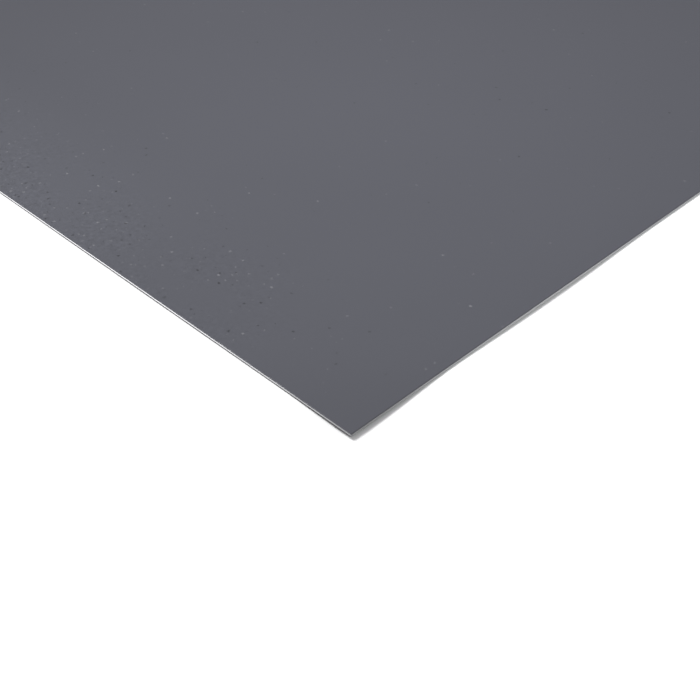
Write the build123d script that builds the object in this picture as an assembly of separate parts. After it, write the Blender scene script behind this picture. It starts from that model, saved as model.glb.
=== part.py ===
from build123d import *
import os

# A rigid plastic sheet, cut to size and lying flat.
# Millimetres, +Z up, X along the long side, origin at the centre of the underside.

# Sheet blank
sheet_length = 1000.0
sheet_width = 500.0
sheet_thickness = 1.5

# Outline of the cut: square corners, with only a touch taken off
corner_radius = 0.45

# Section of the cut edge: an upright face with both arrises broken,
# the upper one by more, as the cutter rolls it over on entry
upper_arris_radius = 0.20
lower_arris_radius = 0.12

# An edge lies at a height if its centre is within this of it
height_tolerance = 1e-6


def cut_outline():
    """The sheet's outline in plan."""
    return RectangleRounded(sheet_length, sheet_width, corner_radius)


def perimeter(solid, height):
    """Every edge of the solid that lies at one height, all the way round."""
    return solid.edges().filter_by(lambda edge: abs(edge.center().Z - height) < height_tolerance)


def make_sheet():
    """One solid: the outline through the thickness, with both arrises broken."""
    blank = extrude(cut_outline(), amount=sheet_thickness)
    top_broken = fillet(perimeter(blank, sheet_thickness), upper_arris_radius)
    return fillet(perimeter(top_broken, 0.0), lower_arris_radius)


os.makedirs("parts", exist_ok=True)
export_step(make_sheet(), "parts/plastic_sheet.step")
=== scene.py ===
"""A rigid plastic sheet that lies flat on a pale floor, under soft studio light.

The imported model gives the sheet's size and place. This script makes its surfaces from those: the two
skins, the broken arrises and the cut faces with the marks of the cut, each with its own finish.
Every length is in metres and every angle in degrees, unless a name says otherwise.
"""

import logging
import math
from dataclasses import dataclass, field
from enum import Enum
from typing import Any

import bpy
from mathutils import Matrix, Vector


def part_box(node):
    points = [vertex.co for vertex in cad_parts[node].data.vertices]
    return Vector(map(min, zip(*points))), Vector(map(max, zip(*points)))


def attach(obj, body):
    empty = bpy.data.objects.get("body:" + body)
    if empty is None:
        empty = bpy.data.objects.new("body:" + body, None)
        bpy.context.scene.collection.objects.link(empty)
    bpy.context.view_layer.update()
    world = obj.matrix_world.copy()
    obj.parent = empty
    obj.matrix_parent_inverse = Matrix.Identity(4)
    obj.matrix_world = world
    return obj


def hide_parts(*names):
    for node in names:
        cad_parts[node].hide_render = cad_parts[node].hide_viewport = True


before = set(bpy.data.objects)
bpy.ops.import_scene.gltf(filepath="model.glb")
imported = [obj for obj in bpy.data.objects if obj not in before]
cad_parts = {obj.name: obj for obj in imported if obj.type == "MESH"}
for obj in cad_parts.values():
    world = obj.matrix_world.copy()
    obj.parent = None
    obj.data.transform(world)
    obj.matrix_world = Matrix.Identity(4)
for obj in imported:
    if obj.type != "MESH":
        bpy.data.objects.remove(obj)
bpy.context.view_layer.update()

LOG = logging.getLogger("plastic_sheet")

Colour = tuple[float, float, float]
Place = tuple[float, float, float]

MM = 0.001
HALF = 0.5
OPAQUE = 1.0
EVERY_SECOND = 2.0
ORIGIN: Place = (0.0, 0.0, 0.0)
NODE = "plastic_sheet"
BODY = "root"
SHEARED = "sheared"
TORN_SHADE = "torn"

# Places of the Mix node's sockets for vectors
MIX_FIRST = 4
MIX_SECOND = 5
MIX_RESULT = 1


class Surface(Enum):
    """The two kinds of surface that the sheet has."""

    SKIN = "skin"
    CUT = "cut_face"


class Target(Enum):
    """What a lamp's light falls on."""

    SHEET = "sheet"
    FLOOR = "floor"


class Graph:
    """One node tree, with short ways to add nodes to it and to join them."""

    def __init__(self, tree: bpy.types.NodeTree) -> None:
        """Keep the tree.

        Args:
            tree: the node tree to build in.
        """
        self.tree = tree

    def feed(self, socket: bpy.types.NodeSocket, value: Any) -> None:
        """Join an input to another node's output, or set its value.

        Args:
            socket: the input.
            value: the output to join it to, or the value to set.
        """
        if isinstance(value, bpy.types.NodeSocket):
            self.tree.links.new(value, socket)
        else:
            socket.default_value = value

    def add(self, kind: str, inputs: dict[Any, Any] | None = None, **settings: Any) -> bpy.types.Node:
        """Add one node.

        Args:
            kind: the node's type name.
            inputs: for each input, by name or by place, what feeds it.
            settings: the node's own settings.

        Returns:
            The new node.
        """
        node = self.tree.nodes.new(kind)
        for name, value in settings.items():
            setattr(node, name, value)
        for name, value in (inputs or {}).items():
            self.feed(node.inputs[name], value)
        return node

    def first(
        self, kind: str, inputs: dict[Any, Any] | None = None, **settings: Any
    ) -> bpy.types.NodeSocket:
        """Add one node of which only the first output is used.

        Args:
            kind: the node's type name.
            inputs: for each input, by name or by place, what feeds it.
            settings: the node's own settings.

        Returns:
            The node's first output.
        """
        return self.add(kind, inputs, **settings).outputs[0]

    def calc(self, operation: str, *terms: Any) -> bpy.types.NodeSocket:
        """Add one step of arithmetic.

        Args:
            operation: the step, such as ADD.
            terms: what it works on, as sockets or numbers.

        Returns:
            The result's socket.
        """
        return self.first("ShaderNodeMath", dict(enumerate(terms)), operation=operation)

    def vector_calc(self, operation: str, *terms: Any) -> bpy.types.NodeSocket:
        """Add one step of vector arithmetic.

        Args:
            operation: the step, such as MULTIPLY.
            terms: what it works on, as sockets or vectors.

        Returns:
            The resulting vector's socket.
        """
        return self.first("ShaderNodeVectorMath", dict(enumerate(terms)), operation=operation)

    def scaled(self, vector: Any, factor: Any) -> bpy.types.NodeSocket:
        """Multiply a vector or a colour by a number.

        Args:
            vector: the vector or the colour.
            factor: the number.

        Returns:
            The result's socket.
        """
        return self.first("ShaderNodeVectorMath", {0: vector, "Scale": factor}, operation="SCALE")

    def axis(self, vector: Any, name: str) -> bpy.types.NodeSocket:
        """Take one number out of a vector.

        Args:
            vector: the vector.
            name: X, Y or Z.

        Returns:
            The number's socket.
        """
        return self.add("ShaderNodeSeparateXYZ", {0: vector}).outputs[name]

    def equals(self, count: Any, other: Any) -> bpy.types.NodeSocket:
        """Compare two whole numbers.

        Args:
            count: the first number.
            other: the second number.

        Returns:
            A socket that is 1 where they are the same, and 0 elsewhere.
        """
        return self.calc("COMPARE", count, other, HALF)

    def ramp(self, value: Any, low: Any, high: Any) -> bpy.types.NodeSocket:
        """Add a smooth step from 0 to 1.

        Args:
            value: what is compared.
            low: where the step is still 0.
            high: where it has reached 1, which may be below low for a falling step.

        Returns:
            The step's socket.
        """
        inputs = {"Value": value, "From Min": low, "From Max": high}
        return self.add("ShaderNodeMapRange", inputs, interpolation_type="SMOOTHSTEP").outputs["Result"]

    def between(self, share: Any, low: Any, high: Any) -> bpy.types.NodeSocket:
        """Go evenly from one value to another.

        Args:
            share: how far to go, from 0 to 1.
            low: the value at 0.
            high: the value at 1.

        Returns:
            The value's socket.
        """
        return self.calc("MULTIPLY_ADD", share, self.calc("SUBTRACT", high, low), low)

    def noise(self, vector: Any, scale: Any, detail: float = 2.0) -> bpy.types.NodeSocket:
        """Add a noise pattern, from about 0 to about 1.

        Args:
            vector: where the pattern is read.
            scale: how many features it has in a metre.
            detail: how many finer layers it has.

        Returns:
            The pattern's socket.
        """
        inputs = {"Vector": vector, "Scale": scale, "Detail": detail}
        return self.add("ShaderNodeTexNoise", inputs).outputs["Fac"]


def show(thing: bpy.types.Object) -> bpy.types.Object:
    """Put an object into the scene and return it."""
    bpy.context.scene.collection.objects.link(thing)
    return thing


def face(thing: bpy.types.Object, back: Vector) -> None:
    """Turn a lamp or a camera so that its back points along a vector."""
    thing.rotation_mode = "QUATERNION"
    thing.rotation_quaternion = back.to_track_quat("Z", "Y")


def new_group(
    name: str, inputs: dict[str, float], output: str
) -> tuple[Graph, Any, bpy.types.NodeSocket]:
    """Make a shader node group that reads a place, Vector, and puts out one value.

    Args:
        name: the group's name.
        inputs: the name and first value of each input besides Vector.
        output: the name of the value that it puts out.

    Returns:
        The group's graph, its inputs and the socket that takes the value.
    """
    tree = bpy.data.node_groups.new(name, "ShaderNodeTree")
    for label, value in {"Vector": ORIGIN, **inputs}.items():
        kind = "NodeSocketVector" if isinstance(value, tuple) else "NodeSocketFloat"
        socket = tree.interface.new_socket(name=label, in_out="INPUT", socket_type=kind)
        socket.default_value = value
    tree.interface.new_socket(name=output, in_out="OUTPUT", socket_type="NodeSocketFloat")
    graph = Graph(tree)
    return graph, graph.add("NodeGroupInput").outputs, graph.add("NodeGroupOutput").inputs[output]


@dataclass(frozen=True)
class Effects:
    """The patterns that the finishes share, each a node group that is built once."""

    clouding: bpy.types.NodeTree
    grain: bpy.types.NodeTree
    specks: bpy.types.NodeTree


@dataclass(frozen=True)
class EffectMaker:
    """The fixed proportions of the shared patterns, and how the patterns are built."""

    cloud_layers: float = 3.0
    coarse_scale: float = 0.25
    ragged_reach: float = 2.5
    least_size: float = 0.4
    full_strength_part: float = 0.4
    strength_fall: float = 2.0
    least_strength: float = 0.2

    def build(self) -> Effects:
        """Build every group and return the set."""
        return Effects(self.clouding(), self.grain(), self.specks())

    def clouding(self) -> bpy.types.NodeTree:
        """Build the slow change of tone over a surface.

        Returns:
            A group whose Tone lies about 1, up or down by Depth.
        """
        graph, given, tone = new_group("clouding", {"Scale": 10.0, "Depth": 0.05}, "Tone")
        cloud = graph.noise(given["Vector"], given["Scale"], self.cloud_layers)
        graph.feed(tone, graph.calc("MULTIPLY_ADD", graph.between(cloud, -1.0, 1.0), given["Depth"], 1.0))
        return graph.tree

    def grain(self) -> bpy.types.NodeTree:
        """Build the fine grain of a moulded or cut plastic surface.

        Returns:
            A group whose Height runs from about 0 to about 1.
        """
        graph, given, height = new_group("fine_grain", {"Scale": 600.0, "Coarse Share": 0.4}, "Height")
        fine = graph.noise(given["Vector"], given["Scale"])
        coarse = graph.noise(given["Vector"], graph.calc("MULTIPLY", given["Scale"], self.coarse_scale))
        graph.feed(height, graph.between(given["Coarse Share"], fine, coarse))
        return graph.tree

    def specks(self) -> bpy.types.NodeTree:
        """Build small ragged specks, scattered unevenly.

        Returns:
            A group whose Mask rises over a speck, to 1 on the strongest. Spacing is the mean distance
            of the places where one may be, Share the part of them that has one, and Size the largest
            radius.
        """
        graph, given, mask = new_group("specks", {"Spacing": 0.02, "Share": 0.2, "Size": 0.0005}, "Mask")
        finest = {"Vector": given["Vector"], "Scale": graph.calc("DIVIDE", 1.0, given["Size"])}
        wobble = graph.add("ShaderNodeTexNoise", finest).outputs["Color"]
        shift = graph.scaled(wobble, graph.calc("MULTIPLY", given["Size"], self.ragged_reach))
        ragged = graph.vector_calc("ADD", given["Vector"], shift)
        spread = {"Vector": ragged, "Scale": graph.calc("DIVIDE", 1.0, given["Spacing"])}
        cells = graph.add("ShaderNodeTexVoronoi", spread, voronoi_dimensions="2D")
        draw = graph.add("ShaderNodeSeparateColor", {"Color": cells.outputs["Color"]}).outputs
        present = graph.calc("LESS_THAN", draw["Red"], given["Share"])
        radius = graph.calc("MULTIPLY", given["Size"], graph.between(draw["Green"], self.least_size, 1.0))
        distance = graph.calc("MULTIPLY", cells.outputs["Distance"], given["Spacing"])
        disc = graph.ramp(distance, radius, graph.calc("MULTIPLY", radius, self.full_strength_part))
        fallen = graph.calc("POWER", draw["Blue"], self.strength_fall)
        strength = graph.between(fallen, self.least_strength, 1.0)
        graph.feed(mask, graph.calc("MULTIPLY", disc, graph.calc("MULTIPLY", present, strength)))
        return graph.tree


class Paint:
    """One material under construction: its graph, its shader and where its patterns are read."""

    def __init__(self, name: str, roughness: float, specular_ior: float) -> None:
        """Start the material.

        Args:
            name: the material's name.
            roughness: the roughness before any pattern is added.
            specular_ior: the plastic's index of refraction.
        """
        self.material = bpy.data.materials.new(name)
        self.material.use_nodes = True
        self.graph = Graph(self.material.node_tree)
        self.shader = self.material.node_tree.nodes["Principled BSDF"]
        self.shader.inputs["Roughness"].default_value = roughness
        self.shader.inputs["IOR"].default_value = specular_ior
        self.place = self.graph.add("ShaderNodeTexCoord").outputs["Object"]

    def inset(self, axis: str, half: Vector) -> bpy.types.NodeSocket:
        """Measure how far a point lies inside the nearer edge across one axis.

        Args:
            axis: X or Y.
            half: from the sheet's middle to its edges.

        Returns:
            The distance's socket.
        """
        off_middle = self.graph.calc("ABSOLUTE", self.graph.axis(self.place, axis))
        return self.graph.calc("SUBTRACT", getattr(half, axis.lower()), off_middle)

    def effect(self, group: bpy.types.NodeTree, **values: Any) -> bpy.types.NodeSocket:
        """Place a shared effect.

        Args:
            group: the effect's group.
            values: what feeds its inputs, with _ for a blank in a name.

        Returns:
            The effect's first output.
        """
        node = self.graph.add("ShaderNodeGroup", node_tree=group)
        for name, value in {"Vector": self.place, **values}.items():
            self.graph.feed(node.inputs[name.replace("_", " ")], value)
        return node.outputs[0]

    def mix(self, factor: Any, first: Any, second: Any) -> bpy.types.NodeSocket:
        """Mix two colours.

        Args:
            factor: how much of the second there is.
            first: the first colour.
            second: the second colour.

        Returns:
            The mixed colour's socket.
        """
        inputs = {0: factor, MIX_FIRST: first, MIX_SECOND: second}
        return self.graph.add("ShaderNodeMix", inputs, data_type="VECTOR").outputs[MIX_RESULT]

    def relief(self, height: Any, distance: float, before: Any = None) -> bpy.types.NodeSocket:
        """Turn a height pattern into a bent normal.

        Args:
            height: the pattern.
            distance: how high the pattern's 1 stands.
            before: the normal that it is added to, if there is one.

        Returns:
            The normal's socket.
        """
        node = self.graph.add("ShaderNodeBump", {"Height": height, "Distance": distance})
        if before is not None:
            self.graph.feed(node.inputs["Normal"], before)
        return node.outputs["Normal"]

    def finish(self, **sockets: Any) -> bpy.types.Material:
        """Join the shader's inputs and return the material.

        Args:
            sockets: what feeds each of the shader's inputs, with _ for a blank in a name.

        Returns:
            The material.
        """
        for name, value in sockets.items():
            self.graph.feed(self.shader.inputs[name.replace("_", " ")], value)
        return self.material


@dataclass(frozen=True)
class SkinZones:
    """Masks of the skin's zones, each a socket that goes from 0 to 1 where its name holds."""

    arris: bpy.types.NodeSocket
    off_rim: bpy.types.NodeSocket
    hazed_and_sheen: bpy.types.NodeSocket
    scuffed: bpy.types.NodeSocket
    near_corner: bpy.types.NodeSocket


@dataclass(frozen=True)
class SkinFinish:
    """The satin slate-grey skin of the sheet, specked along its long edges and lightened there by haze and a
    painted sheen, with painted shade near its corners, on its arris and in small pits.
    """

    colour: Colour = (0.0478, 0.0490, 0.0585)
    roughness: float = 0.42
    specular_ior: float = 1.5
    cloud_scale: float = 9.0
    cloud_depth: float = 0.03
    grain_scale: float = 700.0
    grain_height: float = 0.012 * MM
    arris_roughness: float = 0.22
    # Painted shade: the arris is darkened in colour where its turned face is in shade.
    arris_shade_tone: float = 0.55
    gloss_roughness: float = 0.18
    rim_width: float = 1.1 * MM
    rim_fall: float = 0.12 * MM
    wear_reach: float = 90 * MM
    # Near the long edges the skin is made lighter: partly haze, partly a painted sheen of glancing light.
    haze_and_sheen_ends: tuple[float, float] = (120 * MM, 260 * MM)
    haze_and_sheen_tone: float = 1.13
    # Painted shade: the skin is darkened towards every corner.
    corner_shade_tone: float = 0.93
    scuff_ends: tuple[float, float] = (30 * MM, 120 * MM)
    patch_scale: float = 28.0
    patch_rise: tuple[float, float] = (0.30, 0.60)
    mottle_scale: float = 500.0
    mottle_depth: float = 0.34
    scuffed_grain: float = 3.5
    speck_colour: Colour = (0.104, 0.105, 0.114)
    speck_spacing: float = 5.0 * MM
    speck_size: float = 0.90 * MM
    speck_height: float = 0.05 * MM
    speck_share: float = 0.02
    scuffed_share: float = 0.77
    # Painted shade: the small pits are dark spots in the colour, not hollows.
    pit_shade_shift: Place = (0.5, 0.5, 0.0)
    pit_shade_tone: float = 0.20

    def zones(self, paint: Paint, half: Vector, arris: float) -> SkinZones:
        """Mark the skin's zones: those of wear and of the cut, and those where sheen and shade are painted.

        Args:
            paint: the material under construction.
            half: from the sheet's middle to its edges.
            arris: the width of the burnished arris along those edges.

        Returns:
            The zones.
        """
        graph = paint.graph
        from_short, from_long = paint.inset("X", half), paint.inset("Y", half)
        near_long = graph.ramp(from_long, self.wear_reach, 0.0)
        patches = graph.ramp(graph.noise(paint.place, self.patch_scale), *self.patch_rise)
        patched = graph.calc("MULTIPLY", graph.ramp(from_short, *self.scuff_ends), patches)
        return SkinZones(
            arris=graph.calc("LESS_THAN", graph.calc("MINIMUM", from_short, from_long), arris),
            off_rim=graph.ramp(from_short, 0.0, self.rim_width),
            # Lighter here: partly haze, partly painted sheen.
            hazed_and_sheen=graph.calc("MULTIPLY", near_long, graph.ramp(from_short, *self.haze_and_sheen_ends)),
            scuffed=graph.calc("MULTIPLY", near_long, patched),
            # Painted shade near the corners; this mask also dulls the arris's gloss there.
            near_corner=graph.ramp(graph.calc("ADD", from_short, from_long), self.wear_reach, 0.0),
        )

    def tone(self, paint: Paint, effects: Effects, zones: SkinZones, pit_shade: Any) -> bpy.types.NodeSocket:
        """Work out how light or dark the skin's colour is, painted sheen and painted shade included.

        Args:
            paint: the material under construction.
            effects: the shared patterns.
            zones: the masks of the skin's zones.
            pit_shade: the pattern of the painted shade in small pits.

        Returns:
            The socket of what the colour is multiplied by.
        """
        graph = paint.graph
        mottling = graph.calc("MULTIPLY", zones.scuffed, self.mottle_depth)
        tone = graph.calc(
            "MULTIPLY",
            paint.effect(effects.clouding, Scale=self.cloud_scale, Depth=self.cloud_depth),
            paint.effect(effects.clouding, Scale=self.mottle_scale, Depth=mottling),
        )
        # Haze with a painted sheen, and painted shade near the corners, in the pits and on the arris.
        for zone, tone_there in (
            (zones.hazed_and_sheen, self.haze_and_sheen_tone),
            (zones.near_corner, self.corner_shade_tone),
            (pit_shade, self.pit_shade_tone),
            (zones.arris, self.arris_shade_tone),
        ):
            tone = graph.calc("MULTIPLY", tone, graph.between(zone, 1.0, tone_there))
        return tone

    def normal(self, paint: Paint, effects: Effects, zones: SkinZones, specks: Any) -> bpy.types.NodeSocket:
        """Work out the skin's fine relief: grain, raised specks and the rolled-over rim.

        Args:
            paint: the material under construction.
            effects: the shared patterns.
            zones: the masks of the skin's zones.
            specks: the pattern of the raised specks.

        Returns:
            The normal's socket.
        """
        graph = paint.graph
        grain = paint.effect(effects.grain, Scale=self.grain_scale)
        roughened = graph.calc("MULTIPLY", grain, graph.between(zones.scuffed, 1.0, self.scuffed_grain))
        open_grain = graph.calc("MULTIPLY", roughened, graph.calc("SUBTRACT", 1.0, zones.arris))
        grained = paint.relief(open_grain, self.grain_height)
        specked = paint.relief(specks, self.speck_height, grained)
        return paint.relief(zones.off_rim, self.rim_fall, specked)

    def material(self, effects: Effects, half: Vector, arris: float) -> bpy.types.Material:
        """Build the skin's material.

        Args:
            effects: the shared patterns.
            half: from the sheet's middle to its edges.
            arris: the width of the burnished arris along those edges.

        Returns:
            The material.
        """
        paint = Paint("sheet_skin", self.roughness, self.specular_ior)
        graph = paint.graph
        zones = self.zones(paint, half, arris)
        share = graph.between(zones.scuffed, self.speck_share, self.scuffed_share)
        spread = {"Spacing": self.speck_spacing, "Share": share, "Size": self.speck_size}
        specks = paint.effect(effects.specks, **spread)
        shifted = graph.vector_calc("ADD", paint.place, self.pit_shade_shift)
        # Painted shade in small pits.
        pit_shade = paint.effect(effects.specks, Vector=shifted, **spread)
        plain = graph.scaled(self.colour, self.tone(paint, effects, zones, pit_shade))
        burnished = graph.calc("MULTIPLY", zones.arris, graph.calc("SUBTRACT", 1.0, zones.near_corner))
        return paint.finish(
            Base_Color=paint.mix(specks, plain, self.speck_colour),
            Roughness=graph.between(burnished, self.roughness, self.arris_roughness),
            Coat_Weight=burnished,
            Coat_Roughness=self.gloss_roughness,
            Normal=self.normal(paint, effects, zones, specks),
        )


@dataclass(frozen=True)
class CutFinish:
    """The paler, duller face that the cut leaves, with fine upright streaks and a torn zone. Its colours hold
    painted light and shade: paler on the long edges, darker on the short ones, towards the corners and in the
    torn zone.
    """

    # Partly painted light and shade: the long edges' pale colour stands partly for the key light on their lit
    # side, the short edges' darker colour partly for shade.
    sheared_lit_colour: Colour = (0.93, 0.925, 0.95)
    sawn_shaded_colour: Colour = (0.365, 0.375, 0.385)
    # Painted shade: the torn zone's dark colour stands for the unlit lower part of the long edges; the zone's
    # relief itself is real.
    torn_shade_colour: Colour = (0.060, 0.060, 0.064)
    roughness: float = 0.55
    specular_ior: float = 1.5
    streak_scale: float = 500.0
    streak_depth: float = 0.10
    streak_height: float = 0.02 * MM
    upright_share: float = 0.15
    # Painted shade: the cut faces are darkened towards each corner.
    sawn_shade_ends: tuple[float, float] = (0.0, 90 * MM)
    sawn_corner_shade: float = 0.50
    sheared_shade_ends: tuple[float, float] = (-60 * MM, 140 * MM)
    sheared_corner_shade: float = 0.15

    def material(self, effects: Effects, half: Vector) -> bpy.types.Material:
        """Build the cut face's material.

        Args:
            effects: the shared patterns.
            half: from the sheet's middle to its edges.

        Returns:
            The material.
        """
        paint = Paint("sheet_cut_face", self.roughness, self.specular_ior)
        graph = paint.graph
        stretched = graph.vector_calc("MULTIPLY", paint.place, (1.0, 1.0, self.upright_share))
        streaks = paint.effect(
            effects.clouding, Vector=stretched, Scale=self.streak_scale, Depth=self.streak_depth
        )
        grain = paint.effect(effects.grain, Vector=stretched, Scale=self.streak_scale)
        sheared, torn = (
            graph.add("ShaderNodeAttribute", attribute_name=name).outputs["Fac"] for name in (SHEARED, TORN_SHADE)
        )
        # Long edges paler and short edges darker, partly painted light and shade.
        clean = paint.mix(sheared, self.sawn_shaded_colour, self.sheared_lit_colour)
        # Painted shade towards each corner of the cut faces.
        off_corner = graph.calc("ADD", paint.inset("X", half), paint.inset("Y", half))
        sawn_corner_shading, sheared_corner_shading = (
            graph.between(graph.ramp(off_corner, *ends), shade_at_corner, 1.0)
            for ends, shade_at_corner in (
                (self.sawn_shade_ends, self.sawn_corner_shade),
                (self.sheared_shade_ends, self.sheared_corner_shade),
            )
        )
        tone = graph.calc("MULTIPLY", streaks, graph.between(sheared, sawn_corner_shading, sheared_corner_shading))
        # The torn zone's dark colour is painted shade.
        return paint.finish(
            Base_Color=graph.scaled(paint.mix(torn, clean, self.torn_shade_colour), tone),
            Normal=paint.relief(grain, self.streak_height),
        )


@dataclass(frozen=True)
class CutEdge:
    """The section of the cut edge, and what the cut leaves on its upright face.

    All four faces have fine marks. The short edges are sawn. The long ones are sheared, so their lower
    part is torn as well.
    """

    corner_radius: float = 0.45 * MM
    upper_arris: float = 0.20 * MM
    lower_arris: float = 0.12 * MM
    skin_margin: float = 0.42 * MM
    arc_steps: int = 5
    land_cuts: int = 9
    step: float = 1.25 * MM
    mark_pitch: float = 3.0 * MM
    mark_depth: float = 0.02 * MM
    upright_share: float = 0.2
    tear_height: float = 0.70 * MM
    tear_wander: float = 0.06 * MM
    tear_depth: float = 0.03 * MM
    tear_fineness: float = 2.0
    tear_fade: float = 0.85
    land_margin: float = 0.1


@dataclass
class SheetStock:
    """The sheet itself: two skins and a cut edge all the way round, as one closed mesh."""

    length: float
    width: float
    thickness: float
    edge: CutEdge = field(default_factory=CutEdge)
    seed: int = 7
    weld: float = 0.001 * MM

    def inputs(self, finishes: dict[Surface, bpy.types.Material]) -> dict[str, tuple[str, Any]]:
        """List the tree's inputs.

        Args:
            finishes: the material of each kind of surface.

        Returns:
            For each input's name, its kind of socket and its value.
        """
        sizes = {
            "Length": self.length,
            "Width": self.width,
            "Thickness": self.thickness,
            "Corner Radius": self.edge.corner_radius,
            "Upper Arris": self.edge.upper_arris,
            "Lower Arris": self.edge.lower_arris,
            "Skin Margin": self.edge.skin_margin,
            "Step": self.edge.step,
            "Mark Pitch": self.edge.mark_pitch,
            "Mark Depth": self.edge.mark_depth,
            "Tear Height": self.edge.tear_height,
            "Tear Wander": self.edge.tear_wander,
            "Tear Depth": self.edge.tear_depth,
        }
        counts = {"Arc Steps": self.edge.arc_steps, "Land Cuts": self.edge.land_cuts, "Seed": self.seed}
        listed = {name: ("NodeSocketFloat", value) for name, value in sizes.items()}
        listed |= {name: ("NodeSocketInt", value) for name, value in counts.items()}
        listed["Skin Finish"] = ("NodeSocketMaterial", finishes[Surface.SKIN])
        listed["Cut Finish"] = ("NodeSocketMaterial", finishes[Surface.CUT])
        return listed

    def outline(self, graph: Graph, given: Any) -> bpy.types.NodeSocket:
        """Draw the outline at the height of the top face, with a point at every step of the sides.

        Args:
            graph: the tree's graph.
            given: the tree's inputs.

        Returns:
            The outline's curve.
        """
        sides = {"Width": given["Length"], "Height": given["Width"]}
        box = graph.first("GeometryNodeCurvePrimitiveQuadrilateral", sides, mode="RECTANGLE")
        along, across = (
            graph.calc("SUBTRACT", graph.calc("ROUND", graph.calc("DIVIDE", given[side], given["Step"])), 1.0)
            for side in ("Length", "Width")
        )
        # Going round, the sides are long and short by turns
        on_short_side = graph.calc("MODULO", graph.first("GeometryNodeInputIndex"), EVERY_SECOND)
        cuts = graph.between(on_short_side, along, across)
        divided = graph.first("GeometryNodeSubdivideCurve", {"Curve": box, "Cuts": cuts})
        position = graph.first("GeometryNodeInputPosition")
        off_middle = (graph.calc("ABSOLUTE", graph.axis(position, name)) for name in ("X", "Y"))
        reach = graph.calc("ADD", *off_middle)
        full_reach = graph.calc("MULTIPLY", graph.calc("ADD", given["Length"], given["Width"]), HALF)
        at_corner = graph.calc("COMPARE", reach, full_reach, graph.calc("MULTIPLY", given["Step"], HALF))
        radius = graph.calc("MULTIPLY", at_corner, given["Corner Radius"])
        return self.raised(graph, given, self.rounded(graph, given, divided, radius))

    def rounded(
        self, graph: Graph, given: Any, curve: bpy.types.NodeSocket, radius: bpy.types.NodeSocket
    ) -> bpy.types.NodeSocket:
        """Round a curve's corners off.

        Args:
            graph: the tree's graph.
            given: the tree's inputs.
            curve: the curve with sharp corners.
            radius: the radius at each corner.

        Returns:
            The rounded curve.
        """
        corners = {"Curve": curve, "Count": given["Arc Steps"], "Radius": radius}
        return graph.first("GeometryNodeFilletCurve", corners, mode="POLY")

    def raised(self, graph: Graph, given: Any, flat: bpy.types.NodeSocket) -> bpy.types.NodeSocket:
        """Lift a flat shape to the height of the top face.

        Args:
            graph: the tree's graph.
            given: the tree's inputs.
            flat: the shape, at the height of the underside.

        Returns:
            The lifted shape.
        """
        lift = graph.first("ShaderNodeCombineXYZ", {"Z": given["Thickness"]})
        return graph.first("GeometryNodeTransform", {"Geometry": flat, "Translation": lift})

    def section(self, graph: Graph, given: Any) -> bpy.types.NodeSocket:
        """Draw the edge's section, x outwards and y downwards from the sharp upper corner.

        Args:
            graph: the tree's graph.
            given: the tree's inputs.

        Returns:
            The section's curve, open on the side of the sheet's middle.
        """
        inside, foot = graph.calc("MULTIPLY", given["Skin Margin"], -1.0), given["Thickness"]
        places = ({"X": inside}, {}, {"Y": foot}, {"X": inside, "Y": foot})
        points = {
            f"Point {count}": graph.first("ShaderNodeCombineXYZ", place)
            for count, place in enumerate(places, start=1)
        }
        closed = graph.first("GeometryNodeCurvePrimitiveQuadrilateral", points, mode="POINTS")
        opened = graph.first("GeometryNodeSetSplineCyclic", {0: closed, "Cyclic": False})
        index = graph.first("GeometryNodeInputIndex")
        # Counted from 0, the upper corner is point 1 and the lower one point 2
        is_lower = graph.calc("GREATER_THAN", index, 1.0)
        radius = graph.between(is_lower, given["Upper Arris"], given["Lower Arris"])
        broken = self.rounded(graph, given, opened, radius)
        # The upper arris ends, and the upright land starts, one point after its steps
        starts_land = graph.equals(index, graph.calc("ADD", given["Arc Steps"], 1.0))
        cuts = graph.calc("MULTIPLY", starts_land, given["Land Cuts"])
        return graph.first("GeometryNodeSubdivideCurve", {"Curve": broken, "Cuts": cuts})

    def on_land(self, graph: Graph, given: Any, height: bpy.types.NodeSocket) -> bpy.types.NodeSocket:
        """Tell the upright land of the cut face from the arrises.

        Args:
            graph: the tree's graph.
            given: the tree's inputs.
            height: how high a point lies.

        Returns:
            A socket that is 1 on the land, and 0 above and below it.
        """
        margin = graph.calc("MULTIPLY", given["Lower Arris"], self.edge.land_margin)
        above = graph.calc("GREATER_THAN", height, graph.calc("ADD", given["Lower Arris"], margin))
        land_top = graph.calc("SUBTRACT", given["Thickness"], given["Upper Arris"])
        below = graph.calc("LESS_THAN", height, graph.calc("SUBTRACT", land_top, margin))
        return graph.calc("MULTIPLY", above, below)

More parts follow.
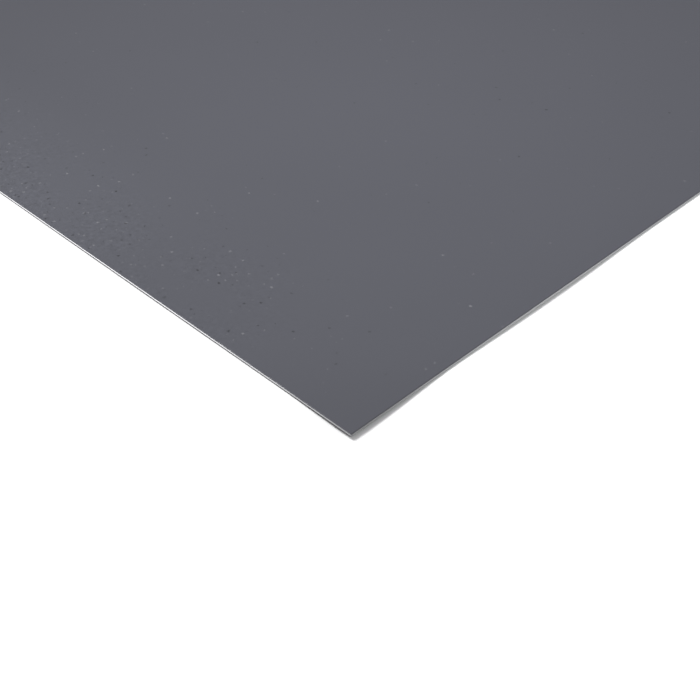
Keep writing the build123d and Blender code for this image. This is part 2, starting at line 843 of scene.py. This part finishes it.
    def marks(self, graph: Graph, given: Any, edge: bpy.types.NodeSocket) -> bpy.types.NodeSocket:
        """Press the marks of the cut into the upright face, always inwards.

        Args:
            graph: the tree's graph.
            given: the tree's inputs.
            edge: the swept edge's mesh.

        Returns:
            The marked mesh.
        """
        position = graph.first("GeometryNodeInputPosition")
        normal = graph.first("GeometryNodeInputNormal")
        height = graph.axis(position, "Z")
        frequency = graph.calc("DIVIDE", 1.0, given["Mark Pitch"])
        tear_frequency = graph.calc("MULTIPLY", frequency, self.edge.tear_fineness)
        shift = graph.first("ShaderNodeCombineXYZ", {"Z": given["Seed"]})
        stretched = graph.vector_calc("MULTIPLY", position, (1.0, 1.0, self.edge.upright_share))
        streaks = graph.noise(graph.vector_calc("ADD", stretched, shift), frequency)
        tears = graph.noise(graph.vector_calc("SUBTRACT", position, shift), tear_frequency)
        wander = graph.between(streaks, -1.0, 1.0)
        tear_top = graph.calc("MULTIPLY_ADD", wander, given["Tear Wander"], given["Tear Height"])
        below_tear = graph.ramp(height, tear_top, graph.calc("MULTIPLY", tear_top, self.edge.tear_fade))
        on_long_edge = graph.calc("LESS_THAN", graph.calc("ABSOLUTE", graph.axis(normal, "X")), HALF)
        in_tear = graph.calc("MULTIPLY", below_tear, on_long_edge)
        streak_depth = graph.calc("MULTIPLY", streaks, given["Mark Depth"])
        torn = graph.calc("MULTIPLY", tears, in_tear)
        depth = graph.calc("MULTIPLY_ADD", torn, given["Tear Depth"], streak_depth)
        pressed = graph.calc("MULTIPLY", depth, self.on_land(graph, given, height))
        offset = graph.scaled(normal, graph.calc("MULTIPLY", pressed, -1.0))
        named = edge
        # The torn zone's mask is also kept for the cut face's painted shade.
        for name, mask in ((SHEARED, on_long_edge), (TORN_SHADE, in_tear)):
            stored = {"Geometry": named, "Name": name, "Value": mask}
            named = graph.first("GeometryNodeStoreNamedAttribute", stored, data_type="FLOAT", domain="POINT")
        return graph.first("GeometryNodeSetPosition", {"Geometry": named, "Offset": offset})

    def skin(self, graph: Graph, given: Any, edge: bpy.types.NodeSocket, top: bool) -> bpy.types.NodeSocket:
        """Fill one open side of the swept edge.

        Args:
            graph: the tree's graph.
            given: the tree's inputs.
            edge: the swept edge's mesh.
            top: whether the side is the upper one.

        Returns:
            The side's flat face, turned outwards.
        """
        height = graph.axis(graph.first("GeometryNodeInputPosition"), "Z")
        middle = graph.calc("MULTIPLY", given["Thickness"], HALF)
        on_side = graph.calc("GREATER_THAN" if top else "LESS_THAN", height, middle)
        faces = graph.add("GeometryNodeInputMeshEdgeNeighbors").outputs["Face Count"]
        open_side = graph.calc("MULTIPLY", on_side, graph.equals(faces, 1.0))
        rim = graph.first("GeometryNodeMeshToCurve", {"Mesh": edge, "Selection": open_side})
        filled = graph.first("GeometryNodeFillCurve", {"Curve": rim}, mode="NGONS")
        if top:
            return self.raised(graph, given, filled)
        return graph.first("GeometryNodeFlipFaces", {"Mesh": filled})

    def dressed(self, graph: Graph, given: Any, bare: bpy.types.NodeSocket) -> bpy.types.NodeSocket:
        """Give the sheet its skin, and what lies between the underside and the upper arris the cut's finish.

        Args:
            graph: the tree's graph.
            given: the tree's inputs.
            bare: the sheet's mesh.

        Returns:
            The mesh with its two finishes.
        """
        height = graph.axis(graph.first("GeometryNodeInputPosition"), "Z")
        off_floor = graph.calc("GREATER_THAN", height, self.weld)
        land_top = graph.calc("SUBTRACT", given["Thickness"], given["Upper Arris"])
        on_cut = graph.calc("MULTIPLY", off_floor, graph.calc("LESS_THAN", height, land_top))
        skinned = graph.first("GeometryNodeSetMaterial", {"Geometry": bare, "Material": given["Skin Finish"]})
        cut = {"Geometry": skinned, "Selection": on_cut, "Material": given["Cut Finish"]}
        return graph.first("GeometryNodeSetMaterial", cut)

    def tree(self, listed: dict[str, tuple[str, Any]]) -> bpy.types.NodeTree:
        """Build the node tree that makes the sheet.

        Args:
            listed: each input's name, kind of socket and value.

        Returns:
            The tree.
        """
        tree = bpy.data.node_groups.new("cut_sheet", "GeometryNodeTree")
        tree.interface.new_socket(name="Geometry", in_out="OUTPUT", socket_type="NodeSocketGeometry")
        for name, (kind, _) in listed.items():
            tree.interface.new_socket(name=name, in_out="INPUT", socket_type=kind)
        graph = Graph(tree)
        given = graph.add("NodeGroupInput").outputs
        sections = {"Curve": self.outline(graph, given), "Profile Curve": self.section(graph, given)}
        edge = self.marks(graph, given, graph.first("GeometryNodeCurveToMesh", sections))
        joined = graph.add("GeometryNodeJoinGeometry")
        for part in (self.skin(graph, given, edge, False), self.skin(graph, given, edge, True), edge):
            graph.feed(joined.inputs[0], part)
        loose = {"Geometry": joined.outputs[0], "Distance": self.weld}
        welded = graph.first("GeometryNodeMergeByDistance", loose)
        smooth = graph.first("GeometryNodeSetShadeSmooth", {"Geometry": welded})
        real = graph.first("GeometryNodeRealizeInstances", {"Geometry": smooth})
        graph.feed(graph.add("NodeGroupOutput").inputs[0], self.dressed(graph, given, real))
        return tree

    def mesh(self, finishes: dict[Surface, bpy.types.Material]) -> bpy.types.Mesh:
        """Run the tree once and keep what it makes as a plain mesh.

        Args:
            finishes: the material of each kind of surface.

        Returns:
            The mesh, with one material slot for each finish.
        """
        listed = self.inputs(finishes)
        blank = bpy.data.meshes.new("sheet_carrier")
        carrier = show(bpy.data.objects.new("sheet_carrier", blank))
        modifier = carrier.modifiers.new("cut_sheet", "NODES")
        modifier.node_group = self.tree(listed)
        for item in modifier.node_group.interface.items_tree:
            if item.in_out == "INPUT":
                modifier[item.identifier] = listed[item.name][1]
        evaluated = carrier.evaluated_get(bpy.context.evaluated_depsgraph_get())
        mesh = bpy.data.meshes.new_from_object(evaluated)
        carrier.modifiers.remove(modifier)
        bpy.data.objects.remove(carrier)
        bpy.data.meshes.remove(blank)
        empty_slots = [place for place, material in enumerate(mesh.materials) if material is None]
        for place in reversed(empty_slots):
            mesh.materials.pop(index=place)
        mesh.name = "cut_sheet"
        return mesh

    def build(self, finishes: dict[Surface, bpy.types.Material]) -> bpy.types.Object:
        """Make the sheet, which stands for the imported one.

        Args:
            finishes: the material of each kind of surface.

        Returns:
            The sheet's object.
        """
        sheet = show(bpy.data.objects.new("cut_sheet", self.mesh(finishes)))
        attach(sheet, BODY)
        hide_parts(NODE)
        return sheet


@dataclass(frozen=True)
class Hollow:
    """A shallow oval hollow in the floor, over which the sheet stands clear."""

    x: float
    y: float
    reach_x: float
    reach_y: float
    depth: float

    def sink(self, x: float, y: float) -> float:
        """Tell how far the floor lies down at a place.

        Args:
            x: the place along the sheet.
            y: the place across it.

        Returns:
            The depth there, which runs out smoothly at the hollow's rim.
        """
        share = min(1.0, math.hypot((x - self.x) / self.reach_x, (y - self.y) / self.reach_y))
        return self.depth * (1.0 - share**2) ** 2


@dataclass(frozen=True)
class SoftLamp:
    """A round soft lamp, which lights the sheet or the floor alone and isn't seen itself."""

    name: str
    target: Target
    stand: Place
    aim: Place
    size: float
    watts: float

    def hang(self, targets: dict[Target, bpy.types.Object]) -> bpy.types.Object:
        """Hang the lamp in its place, turned to what it lights.

        Args:
            targets: the object that each kind of target stands for.

        Returns:
            The lamp.
        """
        lamp = bpy.data.lights.new(self.name, "AREA")
        lamp.shape = "DISK"
        lamp.size = self.size
        lamp.energy = self.watts
        light = bpy.data.objects.new(self.name, lamp)
        face(light, Vector(self.stand) - Vector(self.aim))
        light.location = self.stand
        light.visible_camera = False
        light.visible_glossy = False
        light.light_linking.receiver_collection = bpy.data.collections.new(self.name + "_target")
        light.light_linking.receiver_collection.objects.link(targets[self.target])
        return show(light)


@dataclass(frozen=True)
class Studio:
    """The floor, the soft light and the white surroundings."""

    floor_half: float = 60.0
    floor_drop: float = 0.02 * MM
    floor_colour: Colour = (0.70, 0.70, 0.70)
    floor_roughness: float = 1.0
    floor_specular: float = 0.0
    floor_cell: float = 10 * MM
    hollows: tuple[Hollow, ...] = (
        Hollow(x=505 * MM, y=-245 * MM, reach_x=48 * MM, reach_y=62 * MM, depth=1.9 * MM),
        Hollow(x=500 * MM, y=-118 * MM, reach_x=60 * MM, reach_y=77 * MM, depth=1.05 * MM),
        Hollow(x=365 * MM, y=-250 * MM, reach_x=160 * MM, reach_y=60 * MM, depth=0.38 * MM),
    )
    key_from: Place = (-0.40, -0.28, 0.873)
    key_strength: float = 3.7
    key_softness: float = 26.0
    lamps: tuple[SoftLamp, ...] = (
        SoftLamp(
            "overhead_lamp",
            Target.SHEET,
            stand=(0.32, -0.08, 0.40),
            aim=(0.32, -0.08, 0.0),
            size=0.25,
            watts=1.4,
        ),
        SoftLamp(
            "side_lamp",
            Target.FLOOR,
            stand=(0.93, 0.08, 0.18),
            aim=(0.50, -0.05, 0.0),
            size=0.30,
            watts=1.6,
        ),
    )
    fill: Colour = (0.54, 0.54, 0.55)
    fill_front: Place = (0.707, -0.707, 0.0)
    fill_swing: float = 0.6
    backdrop: Colour = (1.0, 1.0, 1.0)

    def floor(self) -> bpy.types.Object:
        """Lay the floor just under the sheet.

        Returns:
            The floor.
        """
        material = bpy.data.materials.new("floor_paper")
        material.use_nodes = True
        shader = material.node_tree.nodes["Principled BSDF"]
        shader.inputs["Base Color"].default_value = (*self.floor_colour, OPAQUE)
        shader.inputs["Roughness"].default_value = self.floor_roughness
        shader.inputs["Specular IOR Level"].default_value = self.floor_specular
        mesh = self.floor_mesh()
        mesh.materials.append(material)
        floor = show(bpy.data.objects.new("floor", mesh))
        return floor

    def floor_mesh(self) -> bpy.types.Mesh:
        """Make the floor's surface, a grid that sinks into the hollows.

        Returns:
            The mesh.
        """
        columns, rows = self.lines("x"), self.lines("y")
        row = len(columns)
        starts = [line * row + place for line in range(len(rows) - 1) for place in range(row - 1)]
        cells = [(start, start + 1, start + 1 + row, start + row) for start in starts]
        mesh = bpy.data.meshes.new("floor")
        mesh.from_pydata([(x, y, self.level(x, y)) for y in rows for x in columns], [], cells)
        mesh.shade_smooth()
        return mesh

    def level(self, x: float, y: float) -> float:
        """Tell how high the floor lies at a place along and across the sheet."""
        return -self.floor_drop - sum(hollow.sink(x, y) for hollow in self.hollows)

    def lines(self, axis: str) -> list[float]:
        """Space the floor's grid lines: close over the hollows, and far out two more.

        Args:
            axis: x or y.

        Returns:
            The lines' places, in rising order.
        """
        spans = [(getattr(hollow, axis), getattr(hollow, "reach_" + axis)) for hollow in self.hollows]
        low = min(middle - reach for middle, reach in spans)
        high = max(middle + reach for middle, reach in spans)
        count = round((high - low) / self.floor_cell)
        close = [low + (high - low) * step / count for step in range(count + 1)]
        return [-self.floor_half, *close, self.floor_half]

    def key(self) -> bpy.types.Object:
        """Hang the soft key light.

        Returns:
            The light.
        """
        lamp = bpy.data.lights.new("key", "SUN")
        lamp.energy = self.key_strength
        lamp.angle = math.radians(self.key_softness)
        light = bpy.data.objects.new("key", lamp)
        face(light, Vector(self.key_from))
        return show(light)

    def surroundings(self) -> bpy.types.World:
        """Fill the room with soft light, more of it from the front, and show the camera a white backdrop.

        Returns:
            The world.
        """
        world = bpy.data.worlds.new("studio")
        world.use_nodes = True
        world.node_tree.nodes.clear()
        graph = Graph(world.node_tree)
        toward = graph.add("ShaderNodeTexCoord").outputs["Generated"]
        facing = graph.add("ShaderNodeVectorMath", {0: toward, 1: self.fill_front}, operation="DOT_PRODUCT")
        strength = graph.calc("MULTIPLY_ADD", facing.outputs["Value"], self.fill_swing, 1.0)
        fill = graph.first("ShaderNodeBackground", {"Color": (*self.fill, OPAQUE), "Strength": strength})
        backdrop = graph.first("ShaderNodeBackground", {"Color": (*self.backdrop, OPAQUE)})
        seen = graph.add("ShaderNodeLightPath").outputs["Is Camera Ray"]
        chosen = graph.first("ShaderNodeMixShader", {0: seen, 1: fill, 2: backdrop})
        graph.add("ShaderNodeOutputWorld", {"Surface": chosen})
        bpy.context.scene.world = world
        return world


@dataclass(frozen=True)
class PhotoCamera:
    """The camera of the photograph, placed by the sheet's near corner."""

    azimuth: float = 44.98
    elevation: float = 40.50
    lens: float = 72.0
    sensor: float = 36.0
    frame_px: float = 700.0
    corner_px: tuple[float, float] = (351.0, 434.8)
    corner_distance: float = 577 * MM
    clip_end: float = 500.0

    def place(self, corner: Vector) -> bpy.types.Object:
        """Stand the camera so that the sheet's near corner falls on its pixel.

        Args:
            corner: the near corner of the top face.

        Returns:
            The camera.
        """
        turn, rise = math.radians(self.azimuth), math.radians(self.elevation)
        back = Vector((math.sin(turn) * math.cos(rise), -math.cos(turn) * math.cos(rise), math.sin(rise)))
        right = Vector((math.cos(turn), math.sin(turn), 0.0))
        up = back.cross(right)
        focal_px = self.lens / self.sensor * self.frame_px
        middle = self.frame_px / 2
        ray = right * (self.corner_px[0] - middle) + up * (middle - self.corner_px[1]) - back * focal_px
        data = bpy.data.cameras.new("photo_camera")
        data.lens = self.lens
        data.sensor_width = self.sensor
        data.clip_end = self.clip_end
        camera = show(bpy.data.objects.new("photo_camera", data))
        face(camera, back)
        camera.location = corner - ray.normalized() * self.corner_distance
        bpy.context.scene.camera = camera
        return camera


def main() -> None:
    """Build the camera, the sheet and the studio, in that order."""
    logging.basicConfig(level=logging.INFO, format="%(name)s: %(message)s")
    low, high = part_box(NODE)
    camera = PhotoCamera().place(Vector((high.x, low.y, high.z)))
    LOG.info("camera at %.3f, %.3f, %.3f", *camera.location)
    effects = EffectMaker().build()
    size = high - low
    stock = SheetStock(size.x, size.y, size.z)
    finishes = {
        Surface.SKIN: SkinFinish().material(effects, size / 2, stock.edge.upper_arris),
        Surface.CUT: CutFinish().material(effects, size / 2),
    }
    sheet = stock.build(finishes)
    LOG.info("%s: %d faces, %d vertices", sheet.name, len(sheet.data.polygons), len(sheet.data.vertices))
    studio = Studio()
    floor = studio.floor()
    targets = {Target.SHEET: sheet, Target.FLOOR: floor}
    for piece in (floor, studio.key(), *(lamp.hang(targets) for lamp in studio.lamps)):
        LOG.info("%s placed", piece.name)
    studio.surroundings()
    bpy.context.scene.view_settings.view_transform = "Standard"


if __name__ == "__main__":
    main()
